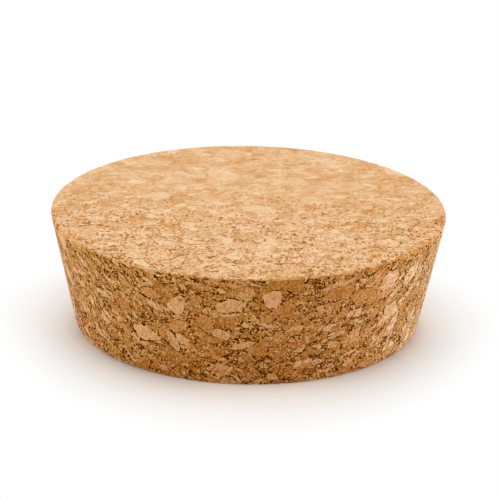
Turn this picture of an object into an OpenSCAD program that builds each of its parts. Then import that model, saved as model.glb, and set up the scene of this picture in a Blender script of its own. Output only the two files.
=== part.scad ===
// Tapered round stopper, pressed from cork granules into one solid piece and ground to size.
// It stands on its narrow end: the origin is the centre of that end's face, and +Z runs along
// the axis to the wide end. Stoppers of this kind are sold by wide end, narrow end and height.
// All lengths are in millimetres.

/* [Body] */
// Diameter of the wide end, measured where its face and the wall would meet in a sharp corner
top_d = 85; // [76:0.5:130]
// Diameter of the narrow end, measured in the same way
base_d = 75; // [40:0.5:84]
// Height from the narrow end's face to the wide end's face
height = 25; // [12:0.5:60]

/* [Rims] */
// Radius to which the rim of the wide end is worn
top_rim_r = 0.4; // [0.1:0.1:2.5]
// Radius to which the rim of the narrow end is worn
base_rim_r = 0.8; // [0.1:0.1:2.5]

/* [Hidden] */

// Angle between the wall and the axis, on each side
taper = atan((top_d - base_d) / 2 / height);

// The wall's outward direction in the section, which dips by the taper
wall_out = [cos(taper), -sin(taper)];

// Enough steps for a smooth preview of the wall and the rims
$fn = 180;

// Radius at which the wall lies at a height above the narrow end's face
function wall_r(z) = base_d / 2 + z * tan(taper);

// Centre of the round worn on a rim, a radius in from the wall and at the given height
function rim_centre(r, z) = [wall_r(z) - r / cos(taper), z];

base_rim = rim_centre(base_rim_r, base_rim_r);
top_rim = rim_centre(top_rim_r, height - top_rim_r);

// Round worn on one rim
module worn_rim(centre, r) {
    translate(centre)
        circle(r = r);
}

// Half of the stopper's section, from the axis to the wall. The polygon's corners are the
// points at which the two rounds run into the faces and the wall.
module half_section() {
    polygon([
        [0, 0],
        [base_rim.x, 0],
        base_rim + base_rim_r * wall_out,
        top_rim + top_rim_r * wall_out,
        [top_rim.x, height],
        [0, height]
    ]);
    worn_rim(base_rim, base_rim_r);
    worn_rim(top_rim, top_rim_r);
}

// The whole stopper, turned from its section
module stopper() {
    color("burlywood")
        rotate_extrude()
            half_section();
}

stopper();
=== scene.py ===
import math

import bpy
from mathutils import Matrix, Vector


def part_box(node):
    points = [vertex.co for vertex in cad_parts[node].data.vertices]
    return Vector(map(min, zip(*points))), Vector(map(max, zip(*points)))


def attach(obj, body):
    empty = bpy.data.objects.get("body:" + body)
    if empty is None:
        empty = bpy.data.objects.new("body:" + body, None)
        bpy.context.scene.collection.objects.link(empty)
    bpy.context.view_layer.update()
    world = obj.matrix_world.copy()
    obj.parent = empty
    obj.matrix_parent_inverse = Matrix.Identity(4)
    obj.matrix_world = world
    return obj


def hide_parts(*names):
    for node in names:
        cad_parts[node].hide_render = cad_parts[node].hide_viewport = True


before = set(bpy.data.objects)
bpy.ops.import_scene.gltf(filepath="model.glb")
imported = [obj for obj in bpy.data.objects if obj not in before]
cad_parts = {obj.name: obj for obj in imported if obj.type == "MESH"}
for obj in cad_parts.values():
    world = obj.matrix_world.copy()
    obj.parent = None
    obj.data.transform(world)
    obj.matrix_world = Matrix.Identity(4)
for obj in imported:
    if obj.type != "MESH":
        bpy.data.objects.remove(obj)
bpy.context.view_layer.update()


# ------------------------------------------------------------------------------------- the camera
# A long lens stands in front of the stopper, a little above its wide end, and looks down at its
# middle, turned by a fraction of a degree, as a camera set down by hand is. Lengths are in metres,
# and the lens and its film in millimetres.
focal_length = 139.07
film_width = 36.0
eye_distance = 0.421
eye_elevation = math.radians(21.46)
turn_left = math.radians(-0.063)
tip_up = math.radians(0.306)
lean = math.radians(-1.024)
cad_low, cad_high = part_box("stopper")
height = cad_high.z - cad_low.z
aim = Vector((0.0, 0.0, height / 2.0))

camera_data = bpy.data.cameras.new("long_lens")
camera_data.lens = focal_length
camera_data.sensor_width = film_width
camera_data.clip_start = 0.01
camera = bpy.data.objects.new("camera", camera_data)
bpy.context.scene.collection.objects.link(camera)
bpy.context.scene.camera = camera

level = Matrix.Rotation(math.radians(90.0) - eye_elevation, 3, "X")
swing = (
    Matrix.Rotation(turn_left, 3, "Y")
    @ Matrix.Rotation(tip_up, 3, "X")
    @ Matrix.Rotation(-lean, 3, "Z")
)
camera.matrix_world = (level @ swing).to_4x4()
camera.location = aim + level @ Vector((0.0, 0.0, eye_distance))


# -------------------------------------------------------------------------- the floor and the light
# The stopper stands on a sheet of white board in a pale room, and three wide soft lamps stand
# round it, the strongest at its right. The board is white as far as it goes, but for the shade
# round the stopper's foot, which reaches out most in front. Close to the foot the shade is the
# board's own shadow, darkened there as painted shadow; farther out it is painted shade that fades
# to white, tinged warm as painted bounce light from the cork and lifted by a painted glow in front
# and behind.
bpy.context.scene.view_settings.view_transform = "Standard"
narrow_d = 0.075


def add_node(tree, kind, inputs=None, **settings):
    """A new node with its settings made, and each input either set or linked to a Field."""
    made = tree.nodes.new(kind)
    for name, value in settings.items():
        setattr(made, name, value)
    for name, value in (inputs or {}).items():
        if isinstance(value, Field):
            tree.links.new(value.socket, made.inputs[name])
        else:
            made.inputs[name].default_value = value
    return made


def add_field(tree, kind, inputs=None, output=0, **settings):
    """The same, for a node of which one output is wanted."""
    return Field(add_node(tree, kind, inputs, **settings).outputs[output])


def is_vector(value):
    """True for a vector or a colour, whether it is written out or comes from a node."""
    if isinstance(value, Field):
        return value.socket.type in ("VECTOR", "RGBA")
    return isinstance(value, (tuple, Vector))


class Field:
    """One output of a node, in a material or in a Geometry Nodes tree, that adds up like a number."""

    def __init__(self, socket):
        self.socket = socket
        self.tree = socket.id_data

    def math(self, operation, *others):
        inputs = dict(enumerate((self, *others)))
        return add_field(self.tree, "ShaderNodeMath", inputs, operation=operation)

    def vector(self, operation, *others, output=0):
        inputs = dict(enumerate((self, *others)))
        return add_field(self.tree, "ShaderNodeVectorMath", inputs, output, operation=operation)

    def __add__(self, other):
        return self.vector("ADD", other) if is_vector(self) else self.math("ADD", other)

    def __sub__(self, other):
        return self.vector("SUBTRACT", other) if is_vector(self) else self.math("SUBTRACT", other)

    def __mul__(self, other):
        if not is_vector(self):
            return self.math("MULTIPLY", other)
        if is_vector(other):
            return self.vector("MULTIPLY", other)
        return add_field(self.tree, "ShaderNodeVectorMath", {0: self, "Scale": other}, operation="SCALE")

    def __rsub__(self, other):
        return add_field(self.tree, "ShaderNodeMath", {0: other, 1: self}, operation="SUBTRACT")

    __radd__ = __add__

    def of(self, colour):
        """As much of a written-out colour as this number says."""
        return add_field(self.tree, "ShaderNodeVectorMath", {0: colour, "Scale": self}, operation="SCALE")

    def step(self, low, high):
        """0 at low and 1 at high, smooth between them; low may be the larger one."""
        inputs = {"Value": self, "From Min": low, "From Max": high}
        return add_field(self.tree, "ShaderNodeMapRange", inputs, interpolation_type="SMOOTHSTEP")

    def held(self):
        """The number itself, held between 0 and 1."""
        return self.math("MAXIMUM", 0.0).math("MINIMUM", 1.0)

    def parts(self):
        """The three numbers of a vector."""
        return [Field(o) for o in add_node(self.tree, "ShaderNodeSeparateXYZ", {0: self}).outputs]


def blend(share, first, second):
    """first where share is 0, second where it is 1."""
    if is_vector(first) or is_vector(second):
        inputs = {0: share, 4: first, 5: second}
        return add_field(share.tree, "ShaderNodeMix", inputs, output=1, data_type="VECTOR")
    return add_field(share.tree, "ShaderNodeMix", {0: share, 2: first, 3: second}, data_type="FLOAT")


def seen_rays(tree):
    """1 for the rays that see or mirror what is white, 0 for those that light the stopper."""
    rays = add_node(tree, "ShaderNodeLightPath")
    seen = Field(rays.outputs["Is Camera Ray"]) + Field(rays.outputs["Is Glossy Ray"])
    return (seen + Field(rays.outputs["Is Transmission Ray"])).math("MINIMUM", 1.0)


def finish_board():
    """For the light the board is paper, darker at the stopper's foot as painted shadow. To the eye
    it goes over from lit paper at the stopper's foot to plain white where the shade ends, fast at
    first and slowly at last; the white is tinged warm near the foot as painted bounce light, and a
    painted glow lifts the shade in front and behind."""
    foot_radius = narrow_d / 2.0
    reach_beside = 0.0205
    less_behind = 0.010
    less_in_front, more_in_front = 0.013, 0.0180
    fall_off = 1.8
    glow_in_front, glow_behind = 0.46, 0.40
    paper_white, paper_in_painted_shadow = (0.76, 0.73, 0.69), (0.69, 0.62, 0.56)
    painted_bounce_beside, painted_bounce_in_front = (1.0, 0.95, 0.91), (1.0, 0.87, 0.76)

    material = bpy.data.materials.new("white_board")
    material.use_nodes = True
    tree = material.node_tree
    tree.nodes.clear()
    spot = add_field(tree, "ShaderNodeTexCoord", output="Object") * (1.0, 1.0, 0.0)
    beyond = spot.vector("LENGTH", output=1) - foot_radius
    towards_back = spot.vector("NORMALIZE").parts()[1]
    ahead = (towards_back * -1.0).math("MAXIMUM", 0.0)
    behind = towards_back.math("MAXIMUM", 0.0)
    reach = ahead * ahead * more_in_front - ahead * less_in_front - behind * less_behind + reach_beside
    away = 1.0 - (1.0 - beyond.math("DIVIDE", reach).held()).math("POWER", fall_off)
    # Painted shadow: the paper is darker close to the foot. The warm tinge is painted bounce light from
    # the cork, and the glow is painted light that lifts the shade in front and behind.
    paper = blend(away.step(0.35, 0.0), paper_white, paper_in_painted_shadow)
    painted_bounce_tinge = blend(away, blend(ahead, painted_bounce_beside, painted_bounce_in_front), (1.0, 1.0, 1.0))
    glow = ahead.math("POWER", 5.0) * glow_in_front + towards_back.step(-0.45, 0.15) * glow_behind
    shading = {
        0: blend(glow, away, 1.0) * seen_rays(tree),
        1: add_field(tree, "ShaderNodeBsdfDiffuse", {"Color": paper}),
        2: add_field(tree, "ShaderNodeEmission", {"Color": painted_bounce_tinge, "Strength": 1.0}),
    }
    add_node(tree, "ShaderNodeOutputMaterial", {0: add_field(tree, "ShaderNodeMixShader", shading)})
    return material


board_half = 3.0
board_top = -0.0001
corners = ((-1, -1), (1, -1), (1, 1), (-1, 1))
board_points = [(x * board_half, y * board_half, board_top) for x, y in corners]
board_mesh = bpy.data.meshes.new("white_board")
board_mesh.from_pydata(board_points, [], [(0, 1, 2, 3)])
board_mesh.materials.append(finish_board())
board = bpy.data.objects.new("white_board", board_mesh)
bpy.context.scene.collection.objects.link(board)

room_strength = 0.49
seen_strength = 1.0
room = bpy.data.worlds.new("pale_room")
bpy.context.scene.world = room
room.use_nodes = True
tree = room.node_tree
tree.nodes.clear()
strength = blend(seen_rays(tree), room_strength, seen_strength)
room_light = add_field(tree, "ShaderNodeBackground", {"Color": (1.0, 1.0, 1.0, 1.0), "Strength": strength})
add_node(tree, "ShaderNodeOutputWorld", {0: room_light})

lamp_across = 0.50
lamps = (
    ("left_lamp", (-0.70, -0.05, 0.30), 1.55),
    ("right_lamp", (0.69, 0.12, 0.30), 3.9),
    ("back_lamp", (-0.55, 0.50, 0.35), 3.0),
)
for name, place, watts in lamps:
    lamp_data = bpy.data.lights.new(name, "AREA")
    lamp_data.shape = "DISK"
    lamp_data.size = lamp_across
    lamp_data.energy = watts
    lamp = bpy.data.objects.new(name, lamp_data)
    lamp.location = place
    lamp.rotation_euler = (aim - Vector(place)).to_track_quat("-Z", "Y").to_euler()
    bpy.context.scene.collection.objects.link(lamp)


# ------------------------------------------------------------------------------ the block of cork
# Cork bark is ground to granules of many sizes, mixed with a little glue and pressed hard in a
# mould. The granules are squeezed flat, at right angles to the pressing, and crumbs fill the rest.
# Lengths in this section and the next are in millimetres.
mm_in_metre = 1000.0
wide_d = 0.085
wall_lean = (wide_d - narrow_d) / 2.0 / height
pressing_dip = math.radians(42.0)
crumpled_by, ragged_by = 3.0, 0.28
shut_below, loosened_by, opened_by, widest_gap = 0.508, 0.18, 1.7, 0.12
edge_blur = 0.02
seed_shift = (17.3, 5.9, 11.7)
half = (0.5, 0.5, 0.5)


def noise(place, grain, detail=2.0, roughness=0.5, output=0):
    """Soft noise with humps of about one grain across; output 1 is three noises at once."""
    inputs = {"Vector": place, "Scale": 1.0 / grain, "Detail": detail, "Roughness": roughness}
    return add_field(place.tree, "ShaderNodeTexNoise", inputs, output)


def turn_back(place, turn):
    """The place as it lies for a granule that was turned."""
    kind = "ShaderNodeVectorRotate"
    inputs = {"Vector": place, "Rotation": turn}
    return add_field(place.tree, kind, inputs, rotation_type="EULER_XYZ", invert=True)


class Cork:
    """What shows of the block at a place: the luck of the granule that is there, which is three
    numbers from 0 to 1 for its lines, its tone and its hue, then its size, how far within it the
    place lies, and how open the joint is. Grades are laid one over another, the finest first."""

    def __init__(self, place):
        self.place = place * mm_in_metre
        crumple = noise(self.place, grain=6.0, detail=1.0, roughness=0.4, output=1) - half
        ragged = noise(self.place, grain=0.7, detail=1.0, output=1) - half
        self.crumpled = self.place + crumple * crumpled_by + ragged * ragged_by
        loose = noise(self.place, grain=5.0, detail=1.0) - 0.5
        parting = noise(self.place, grain=0.60, detail=1.0) - shut_below + loose * loosened_by
        self.gap = (parting * opened_by).math("MINIMUM", widest_gap)
        self.luck = None

    def lay(self, size, share, flat, turn, seed, shrink=0.0, joint=0.0, uneven=1.0, corner=1.5):
        """Lays one grade over what is there. size is how far across a granule is, and flat its
        thickness as a share of that; share is how many of them there are. shrink makes some of
        them smaller, joint widens the joints, uneven lets them come and go, and past corner, as a
        share of the size, there is a pore."""
        tree = self.place.tree
        seeded = self.crumpled + tuple(seed * s for s in seed_shift)
        dipped = turn_back(seeded, (turn[0] + pressing_dip, turn[1], turn[2]))
        laid = dipped * (1.0 / size, 1.0 / size, 1.0 / (size * flat))
        cells = {"Vector": laid, "Scale": 1.0, "Randomness": 1.0}
        cell = add_node(tree, "ShaderNodeTexVoronoi", cells, feature="F1")
        edge = add_node(tree, "ShaderNodeTexVoronoi", cells, feature="DISTANCE_TO_EDGE")
        luck = Field(cell.outputs["Color"])
        within = Field(edge.outputs["Distance"]) * size
        pore = (Field(cell.outputs["Distance"]) - corner) * size
        gap = self.gap * uneven + joint
        if self.luck is None:
            self.luck, self.size, self.within = luck, size, within
            self.open = (gap - within).math("MAXIMUM", pore)
            return
        pick = luck.parts()[0]
        there = pick.math("LESS_THAN", share)
        within = within - pick * (shrink / share)
        shown = there * within.step(-edge_blur, edge_blur)
        rim = (gap - within.math("ABSOLUTE")).math("MAXIMUM", pore)
        self.cover(shown, luck, size, within, blend(there, -1.0, rim))

    def bed(self, granules):
        """Beds single granules: for each its middle, its turn, its half sizes and its luck. Each
        is a block with its corners cut off."""
        cut_off, taper_off = 0.68, 0.9
        usual_size = 4.0
        joint = 0.06
        nearest = None
        for middle, turn, half_sizes, chance in granules:
            turned = turn_back(self.crumpled - middle, turn)
            x, y, z = (turned.vector("ABSOLUTE") * tuple(1.0 / h for h in half_sizes)).parts()
            far = (x + y + z) * cut_off
            for part in (x, y, z):
                far = far.math("MAXIMUM", part)
            within = (1.0 - far) * (sorted(half_sizes)[1] * taper_off)
            if nearest is None:
                nearest, luck = within, chance
                continue
            luck = blend(within.math("GREATER_THAN", nearest), luck, chance)
            nearest = nearest.math("MAXIMUM", within)
        shown = nearest.step(-edge_blur, edge_blur)
        self.cover(shown, luck, usual_size, nearest, self.gap + joint - nearest.math("ABSOLUTE"))

    def cover(self, shown, luck, size, within, rim):
        """Lets new granules hide what is there where shown is 1, with a joint round each."""
        self.luck = blend(shown, self.luck, luck)
        self.size = blend(shown, self.size, size)
        self.within = blend(shown, self.within, within)
        self.open = blend(shown, self.open, -1.0).math("MAXIMUM", rim)

    def joints(self, outset=0.05, edge=0.10):
        """1 in the open joints, 0 in the granules; outset widens them."""
        return ((self.open + outset) * (1.0 / edge)).held()


# Single granules that stand out. On the wall each has its angle from the front and its height, on
# the wide face its x and y. Then come its length, width, turn and luck. Angles are in degrees.
wall_bed_inset = 0.3
wall_bed_radius = narrow_d * mm_in_metre / 2.0 - wall_bed_inset
face_bed_height = height * mm_in_metre
wall_bed_half, face_bed_half = 1.6, 1.4
wall_granules = (
    (-20, 18.0, 5.0, 5.0, 10, (0.15, 0.99, 0.5)),
    (-4, 19.0, 6.5, 3.5, 12, (0.15, 0.92, 0.6)),
    (7, 21.0, 4.5, 4.5, 0, (0.15, 0.97, 1.0)),
    (-27, 16.5, 5.0, 1.5, -34, (0.13, 0.92, 0.2)),
    (-31, 9.5, 6.5, 3.5, -14, (0.15, 0.88, 0.8)),
    (-22, 9.5, 5.0, 2.0, -58, (0.13, 0.95, 0.3)),
    (0, 9.5, 5.5, 2.0, 25, (0.15, 0.84, 0.6)),
    (-12, 14.5, 4.5, 3.5, -36, (0.15, 0.50, 0.8)),
    (-4, 22.0, 7.0, 1.5, 33, (0.12, 0.50, 0.5)),
    (-8, 3.5, 5.5, 3.0, 5, (0.13, 0.76, 0.8)),
    (-28, 19.5, 4.5, 2.5, 3, (0.15, 0.60, 0.4)),
    (44, 21.0, 6.0, 4.5, 52, (0.13, 0.90, 0.3)),
    (54, 20.0, 6.5, 3.5, 45, (0.13, 0.76, 0.2)),
    (33, 9.0, 6.5, 2.5, 42, (0.15, 0.66, 0.5)),
    (50, 9.0, 6.0, 2.0, 60, (0.12, 0.85, 0.5)),
)
face_granules = (
    (-20, 5, 6.0, 6.0, 3, (0.15, 0.84, 0.6)),
    (22, 14, 7.0, 6.5, 3, (0.15, 0.74, 0.8)),
    (-34, -17.5, 6.5, 6.0, 25, (0.15, 0.54, 0.6)),
    (-6, 20, 7.0, 7.0, 3, (0.15, 0.82, 0.7)),
    (2, -2, 8.0, 4.5, -14, (0.14, 0.82, 0.3)),
    (-18, -30, 5.0, 5.0, 3, (0.15, 0.50, 0.9)),
    (-21, -34, 5.0, 2.0, -38, (0.13, 0.95, 0.5)),
    (29, -20.5, 5.0, 4.5, -19, (0.15, 0.82, 0.8)),
)
bedded = []
for around, up, long, wide, tilt, luck in wall_granules:
    angle = math.radians(around)
    across = wall_bed_radius + up * wall_lean
    middle = (across * math.sin(angle), -across * math.cos(angle), up)
    turn = (0.0, math.radians(-tilt), angle)
    bedded.append((middle, turn, (long / 2, wall_bed_half, wide / 2), luck))
for x, y, long, wide, tilt, luck in face_granules:
    turn = (0.0, 0.0, math.radians(tilt))
    bedded.append(((x, y, face_bed_height), turn, (long / 2, wide / 2, face_bed_half), luck))


def press_block(place):
    """The whole block: crumbs, two fine grades, thin flakes, three coarse grades and the single
    granules. A grade has its size, share, flatness, turn and seed, then what its joints are like."""
    cork = Cork(place)
    cork.lay(0.66, 1.00, 0.60, (0.0, 0.0, 0.0), 1, joint=-0.02, corner=0.66)
    cork.lay(1.10, 0.50, 0.45, (0.4, 0.2, 0.0), 2, joint=-0.01, corner=0.74)
    cork.lay(1.90, 0.42, 0.34, (0.2, -0.2, 0.3), 3, shrink=0.1, joint=0.03, corner=0.84)
    cork.lay(3.80, 0.30, 0.22, (-0.1, 0.1, -0.15), 4, shrink=0.2, joint=0.03, uneven=0.6)
    cork.lay(2.30, 0.26, 0.50, (-0.3, 0.2, 0.2), 5, shrink=0.3, joint=0.04, uneven=0.6)
    cork.lay(3.60, 0.14, 0.55, (0.3, -0.25, -0.3), 6, shrink=0.5, joint=0.04, uneven=0.6)
    cork.lay(5.60, 0.11, 0.65, (-0.4, 0.3, 0.4), 7, shrink=1.2, joint=0.04, uneven=0.6)
    cork.bed(bedded)
    return cork


# ------------------------------------------------------------------------ the look of the cut cork
# A cut through the block shows each granule's own tone and growth lines, specks of bark, and the
# joints. The two faces are sawn and sanded smooth, and dust fills them towards the back; the wall
# is ground, so its joints stand open and dark. The faces are coloured paler and less red than the
# wall, partly from the sanding and partly as painted light on the lit faces against painted shade
# on the wall, and towards the back of the faces a painted sheen makes them whiter.
cork_material = bpy.data.materials.new("pressed_cork")
cork_material.use_nodes = True
tree = cork_material.node_tree
tree.nodes.clear()
cork = press_block(add_field(tree, "ShaderNodeAttribute", output="Vector", attribute_name="blank_place"))
place = cork.place
x, y, z = place.parts()
pick, luck_tone, hue = cork.luck.parts()

# Where the place is: sawn is 1 on the faces and 0 on the wall, with a burr along the rims, and
# dust_and_sheen is 1 at the back of the faces. The rest tells the parts of the wall from left to
# right, which carry painted light and shade.
half_height = height * mm_in_metre / 2.0
rim_band, burr_by, burr_blur = 0.24, 0.05, 0.05
burr = noise(place, grain=0.9) - 0.5
to_face = (z - half_height).math("ABSOLUTE") - (half_height - rim_band)
sawn = (to_face + burr * burr_by).step(0.0, burr_blur)
ground = 1.0 - sawn
dust_and_sheen = y.step(-36.0, 20.0)
painted_low_light_and_shade = z.step(14.0, 0.0)
side = x - z * wall_lean
painted_shade_left_edge = side.step(-36.0, -38.5)
left = side.step(-16.0, -28.0)
painted_shade_middle_left = side.step(-2.0, -8.0) * side.step(-28.0, -16.0)
painted_light_right_half = side.step(2.0, 14.0)
painted_light_right_side = side.step(22.0, 33.0)
painted_highlight_right_edge = side.step(35.0, 37.4)

# What the granule is: its size, and the growth lines, which run their own way in each granule.
big = cork.size.step(0.9, 2.8)
small = cork.size.step(2.0, 0.4)
coarse = cork.size.step(0.70, 1.40)
joints = cork.joints(blend(sawn, 0.05, 0.03))
painted_highlight_lips = cork.joints(0.16) - joints
seams = cork.within.step(0.10, 0.02)
line_way = (cork.luck - half).vector("NORMALIZE")
along = line_way.vector("DOT_PRODUCT", place, output=1)
lines_spread, lines_crowd = 0.5, 3.2
streaks = noise(place * lines_spread + line_way * (along * lines_crowd), grain=1.0) - 0.5
fibrous = (pick * 7.0).math("FRACT")
streaky = fibrous * fibrous * 1.3 + 0.5

# Fine grain: the saw draws it out on the faces. Pits are dark specks and chips pale ones, and
# the pale lips along the joints are a painted highlight.
drawn_out = (0.65, 0.5, 1.0)
sheared = blend(sawn, place, place * drawn_out)
grain = noise(sheared, grain=0.34, detail=1.0, roughness=0.6) - 0.5
flecks = noise(sheared + (31.0, 7.0, 13.0), grain=0.44, detail=1.0)
pits = flecks.step(0.42, 0.38) * blend(coarse, 0.42, 0.08)
chips = flecks.step(0.58, 0.64) * blend(coarse, 0.30, 0.04)
fine = grain * (blend(coarse, 2.8, 0.55) + sawn * 0.2) + chips - pits + painted_highlight_lips * 0.20
fine_shows = blend(sawn, 1.95, blend(dust_and_sheen, 2.3, 0.10))
seams_show = blend(sawn, 0.38, blend(dust_and_sheen, 0.44, 0.04))

# The wall's tone, from 0 for the darkest to 1 for the palest: crumbs are darker than granules.
pale = luck_tone.step(0.55, 0.80)
wall_tone = blend(small, luck_tone * 0.21 + pale * 0.16 + 0.572, luck_tone * 0.54 + 0.242)
# Painted light and shade: a painted highlight at the right edge, the lit right side a little darker in
# tone, the low part darker as painted shade but lighter as painted light on the lit right side, and
# painted shade left of the middle, at the left and at the left edge.
wall_tone = wall_tone + painted_highlight_right_edge * 0.12 - painted_light_right_side * 0.027 - painted_low_light_and_shade * blend(painted_light_right_side, 0.06, -0.06)
wall_tone = wall_tone - painted_shade_middle_left * 0.02 - left * 0.005 - painted_shade_left_edge * 0.025
wall_tone = wall_tone + streaks * streaky

# The faces' tone: dust evens out the granules, and leaves soft clouds.
clouds = noise(sheared, grain=2.6, detail=1.0) - 0.5
granules_show = blend(cork.size.step(0.7, 2.2), 0.34, 0.58) * blend(dust_and_sheen, 0.9, 0.8)
face_tone = (luck_tone - 0.5) * granules_show + streaks * 0.3
face_tone = face_tone + clouds * blend(dust_and_sheen, 0.35, 0.65) + blend(dust_and_sheen, 0.814, 0.694)

# Both, with the open joints let in, the faces darker to the sides as painted shade and a little
# paler at the back as painted sheen, and bits torn out of them.
tone = blend(sawn, wall_tone, face_tone) - seams * seams_show + fine * fine_shows
joint_tone = 0.08 - cork.joints(-0.02, 0.08) * 0.08
joints_show = blend(sawn, 1.0, blend(dust_and_sheen, 0.8, 0.15))
tone = blend(joints * joints_show, tone, joint_tone)
painted_shade_face_sides = x.step(10.0, -40.0) * 0.045 + x.step(12.0, 36.0) * 0.07
tone = tone + sawn * (dust_and_sheen * 0.01 - painted_shade_face_sides)
torn = noise(sheared + (0.0, 0.0, 50.0), grain=0.44, detail=1.0).step(0.42, 0.35)
torn = torn * cork.joints(0.24, 0.20) * blend(dust_and_sheen, 1.0, 0.40) * sawn
tone = blend(torn, tone, 0.05)


def colour_from(tone, stops):
    """The colour of a tone, between the stops from dark to pale."""
    ramp = add_node(tone.tree, "ShaderNodeValToRGB", {0: tone})
    elements = ramp.color_ramp.elements
    elements.remove(elements[-1])
    for k, (where, colour) in enumerate(stops):
        element = elements[0] if k == 0 else elements.new(where)
        element.position = where
        element.color = (*colour, 1.0)
    return Field(ramp.outputs[0])


# The wall's stops are darker and redder than the faces' for the same tone: partly the cork's two finishes,
# partly painted shade on the wall and painted light on the faces.
wall_stops = (
    (0.00, (0.100, 0.015, 0.000)),
    (0.20, (0.245, 0.062, 0.001)),
    (0.35, (0.415, 0.138, 0.008)),
    (0.55, (0.612, 0.237, 0.037)),
    (0.75, (0.787, 0.378, 0.121)),
    (0.90, (0.890, 0.482, 0.208)),
    (1.00, (0.970, 0.630, 0.330)),
)
face_stops = (
    (0.00, (0.340, 0.115, 0.008)),
    (0.20, (0.560, 0.218, 0.040)),
    (0.40, (0.690, 0.334, 0.112)),
    (0.60, (0.770, 0.443, 0.198)),
    (0.80, (0.855, 0.545, 0.292)),
    (1.00, (0.925, 0.650, 0.395)),
)
colour = blend(sawn, colour_from(tone, wall_stops), colour_from(tone, face_stops))

# The tint is a factor on red, green and blue. Each row is what shifts it, and by how much: the
# granule's own hue, rosy granules, crumbs, stained joints, then painted light on the wall, which
# is a painted sheen to the sides and paler over the right half, the lit right side and its edge,
# and last painted shade that reddens the wide rim.
# Towards the back the faces are tinted whiter: a painted sheen.
face_tint = blend(dust_and_sheen, (1.0, 0.955, 0.905), (1.0, 0.985, 0.980))
tint = blend(sawn, (1.0, 0.955, 0.895), face_tint)
own_hue = (hue - 0.5) * 0.045
rosy = hue.step(0.92, 0.98) * big * ground
crumbs = (1.0 - big) * ground
stained = cork.joints(0.16) * ground
painted_sheen_to_sides = side.math("ABSOLUTE").step(6.0, 32.0) * ground
# Painted shade on the wide rim: it is tinted redder and darker against the light its rounded edge catches.
wide_rim = (x * x + y * y).math("SQRT").step(41.5, 42.1) * z.step(24.3, 24.6)
tint_shifts = (
    (own_hue, (1.0, 0.0, -0.30)),
    (rosy, (0.05, -0.03, 0.03)),
    (crumbs, (0.0, 0.0, -0.08)),
    (stained, (0.01, -0.04, -0.30)),
    (painted_sheen_to_sides, (0.0, 0.075, 0.175)),
    (painted_light_right_half * ground, (0.0, 0.0, 0.10)),
    (painted_light_right_side * ground, (0.0, 0.12, 0.32)),
    (painted_highlight_right_edge * ground, (0.0, 0.12, 0.30)),
    (wide_rim, (0.0, -0.085, -0.24)),
)
for share, shift in tint_shifts:
    tint = tint + share.of(shift)
finish = {
    "Base Color": colour * tint,
    "Roughness": 0.9,
    "Specular IOR Level": 0.0,
    "Sheen Weight": tone.step(0.10, 0.62) * 0.42,
    "Sheen Roughness": 0.3,
    "Sheen Tint": (1.0, 0.95, 0.86, 1.0),
}
cork_surface = add_field(tree, "ShaderNodeBsdfPrincipled", finish)
add_node(tree, "ShaderNodeOutputMaterial", {0: cork_surface})


# ------------------------------------------------------------------------------------ the stopper
# One solid tapered stopper, ground from a block of pressed cork. Both rims are worn round, the
# narrow one more, crumbs have come out of them in places, and the joints lie a little deeper than
# the granules. Lengths are in metres again.
wide_rim_r = 0.0004
narrow_rim_r = 0.0008
joint_depth = 0.00008
face_steps = 164
narrow_rim_rows, wall_rows, wide_rim_rows = 3, 60, 2

blank = bpy.data.node_groups.new("turned_cork_blank", "GeometryNodeTree")
blank.interface.new_socket("Geometry", in_out="OUTPUT", socket_type="NodeSocketGeometry")
sizes = (
    ("Wide end diameter", "NodeSocketFloat", wide_d),
    ("Narrow end diameter", "NodeSocketFloat", narrow_d),
    ("Height", "NodeSocketFloat", height),
    ("Wide rim radius", "NodeSocketFloat", wide_rim_r),
    ("Narrow rim radius", "NodeSocketFloat", narrow_rim_r),
    ("Relief depth", "NodeSocketFloat", joint_depth),
    ("Steps across a face", "NodeSocketInt", face_steps),
    ("Cork", "NodeSocketMaterial", cork_material),
)
sockets = []
for name, kind, _ in sizes:
    sockets.append(blank.interface.new_socket(name, in_out="INPUT", socket_type=kind))
entry = add_node(blank, "NodeGroupInput")
given = {name: Field(entry.outputs[name]) for name, _, _ in sizes}
low_round, high_round = given["Narrow rim radius"], given["Wide rim radius"]
foot_r = given["Narrow end diameter"] * 0.5
steps = given["Steps across a face"]
here = add_field(blank, "GeometryNodeInputPosition")

# The wall leans out by the taper. The round of a rim has its centre a radius in from the wall.
lean_out = given["Wide end diameter"] - given["Narrow end diameter"]
taper = (lean_out * 0.5).math("DIVIDE", given["Height"]).math("ARCTANGENT")
taper_cos = taper.math("COSINE")
taper_sin = taper.math("SINE")
slope = taper_sin.math("DIVIDE", taper_cos)
low_z = low_round
high_z = given["Height"] - high_round
low_r = foot_r + low_z * slope - low_round.math("DIVIDE", taper_cos)
high_r = foot_r + high_z * slope - high_round.math("DIVIDE", taper_cos)


def draw_grid(columns, rows, x, y, z):
    """A grid whose points are moved to x, y and z; here runs over it from -1 to 1 both ways."""
    flat = {"Size X": 2.0, "Size Y": 2.0, "Vertices X": columns, "Vertices Y": rows}
    position = add_field(blank, "ShaderNodeCombineXYZ", {0: x, 1: y, 2: z})
    grid = add_field(blank, "GeometryNodeMeshGrid", flat, output="Mesh")
    return add_field(blank, "GeometryNodeSetPosition", {"Geometry": grid, "Position": position})


def draw_face(radius, z):
    """A square grid drawn out to a disc, ring by ring."""
    across, back, _ = here.parts()
    beside = across.math("ABSOLUTE").math("GREATER_THAN", back.math("ABSOLUTE"))
    ring = blend(beside, back, across)
    angle = blend(beside, across, back).math("DIVIDE", ring) * math.radians(45.0)
    near = ring * angle.math("COSINE")
    off = ring * angle.math("SINE")
    x = blend(beside, off, near) * radius
    y = blend(beside, near, off) * radius
    return draw_grid(steps + 1, steps + 1, x, y, z)


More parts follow.
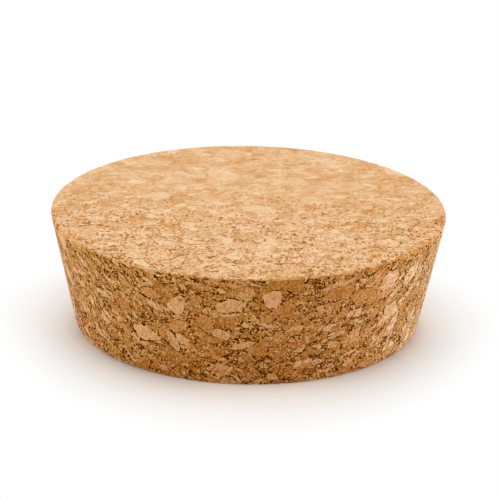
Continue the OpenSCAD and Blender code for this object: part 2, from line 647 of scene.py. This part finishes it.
def draw_wall():
    """A grid wrapped round the axis: its rows go up the narrow rim, the wall and the wide rim. It
    has as many columns as a face has points along its rim."""
    quarter = math.radians(90.0)
    rim_points = steps * 4.0
    rows = narrow_rim_rows + wall_rows + wide_rim_rows
    column, row, _ = here.parts()
    around = (column + 1.0) * math.pi
    row = (row + 1.0) * (rows / 2.0)
    low_part = row.math("DIVIDE", narrow_rim_rows).math("MINIMUM", 1.0)
    climb = ((row - narrow_rim_rows) * (1.0 / wall_rows)).held()
    high_part = ((row - (narrow_rim_rows + wall_rows)) * (1.0 / wide_rim_rows)).math("MAXIMUM", 0.0)
    low_angle = low_part * (quarter - taper) - quarter
    high_angle = high_part * (quarter + taper) - taper
    run_r = high_r + high_round * taper_cos - low_r - low_round * taper_cos
    run_z = high_z - high_round * taper_sin - low_z + low_round * taper_sin
    from_axis = low_r + low_round * low_angle.math("COSINE") + climb * run_r
    from_axis = from_axis + high_round * (high_angle.math("COSINE") - taper_cos)
    z = low_z + low_round * low_angle.math("SINE") + climb * run_z
    z = z + high_round * (high_angle.math("SINE") + taper_sin)
    x = around.math("COSINE") * from_axis
    y = around.math("SINE") * from_axis
    return draw_grid(rim_points + 1.0, rows + 1, x, y, z)


wide_face = draw_face(high_r, given["Height"])
narrow_face = add_field(blank, "GeometryNodeFlipFaces", {0: draw_face(low_r, 0.0)})
join = add_node(blank, "GeometryNodeJoinGeometry")
for part in (wide_face, draw_wall(), narrow_face):
    blank.links.new(part.socket, join.inputs[0])
merging = {"Geometry": Field(join.outputs[0]), "Distance": 0.00001}
shape = add_field(blank, "GeometryNodeMergeByDistance", merging)
keeping = {"Geometry": shape, "Name": "blank_place", "Value": here}
shape = add_field(blank, "GeometryNodeStoreNamedAttribute", keeping, data_type="FLOAT_VECTOR")

# The joints are sunk, less on the sawn faces, and crumbs are missing from the two rims. These are
# found by their places in millimetres.
sawn_depth = 0.4
narrow_rim_loss, wide_rim_loss = 0.0005, 0.00012
normal = add_field(blank, "GeometryNodeInputNormal")
cork = press_block(here)
x, y, z = cork.place.parts()
from_axis = (x * x + y * y).math("SQRT")
narrow_rim = z.step(1.5, 0.8) * from_axis.step(36.0, 36.8)
wide_rim = z.step(24.0, 24.6) * from_axis.step(41.5, 42.0)
crumbled = noise(cork.place + (5.0, 9.0, 2.0), grain=1.3, detail=1.0).step(0.56, 0.68)
sawn = normal.parts()[2].math("ABSOLUTE").step(0.55, 0.8)
depth = cork.joints(0.05, 0.15) * given["Relief depth"] * blend(sawn, 1.0, sawn_depth)
depth = depth + crumbled * (narrow_rim * narrow_rim_loss + wide_rim * wide_rim_loss)
sinking = {"Geometry": shape, "Position": here - normal * depth}
shape = add_field(blank, "GeometryNodeSetPosition", sinking)
shape = add_field(blank, "GeometryNodeSetShadeSmooth", {0: shape})
shape = add_field(blank, "GeometryNodeRealizeInstances", {0: shape})
shape = add_field(blank, "GeometryNodeSetMaterial", {"Geometry": shape, "Material": given["Cork"]})
add_node(blank, "NodeGroupOutput", {0: shape})

# The tree runs once, on an empty object, and what it makes is kept as a plain mesh.
maker = bpy.data.objects.new("blank", bpy.data.meshes.new("blank"))
bpy.context.scene.collection.objects.link(maker)
modifier = maker.modifiers.new("turned_cork_blank", "NODES")
modifier.node_group = blank
for socket, (_, _, value) in zip(sockets, sizes):
    modifier[socket.identifier] = value
bpy.context.view_layer.update()
depsgraph = bpy.context.evaluated_depsgraph_get()
turned = maker.evaluated_get(depsgraph)
mesh = bpy.data.meshes.new_from_object(turned, preserve_all_data_layers=True, depsgraph=depsgraph)
mesh.name = "pressed_cork_stopper"
maker.modifiers.remove(modifier)
bpy.data.objects.remove(maker)
stopper = bpy.data.objects.new("pressed_cork_stopper", mesh)
bpy.context.scene.collection.objects.link(stopper)
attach(stopper, "root")
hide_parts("stopper")
